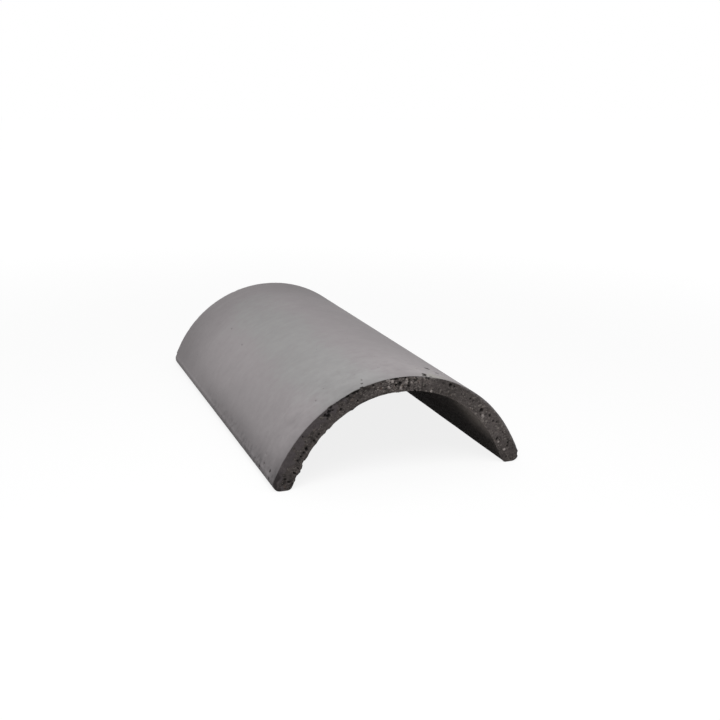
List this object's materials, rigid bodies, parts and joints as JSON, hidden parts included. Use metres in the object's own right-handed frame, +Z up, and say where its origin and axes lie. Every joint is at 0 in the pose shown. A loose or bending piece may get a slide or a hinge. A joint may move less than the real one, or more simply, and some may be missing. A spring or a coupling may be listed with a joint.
{
  "type": "concrete ridge tile",
  "caption": "Curved concrete ridge tile: a segmental arch with straight skirts and rounded toes that caps the ridge of a roof.",
  "frame": {"origin": "midway between the two feet and midway along the tile, at the level that the feet stand on", "axes": "+X across the ridge, +Y along the tile away from the end that the picture shows, +Z up from the feet towards the crown"},
  "size_m": [0.2622, 0.457, 0.1019],
  "materials": {
    "concrete": "smooth slurry-coated weathered face; bare dark granular concrete on the ends and underside"
  },
  "bodies": {
    "root": {"ridge_tile": "concrete"}
  },
  "joints": []
}
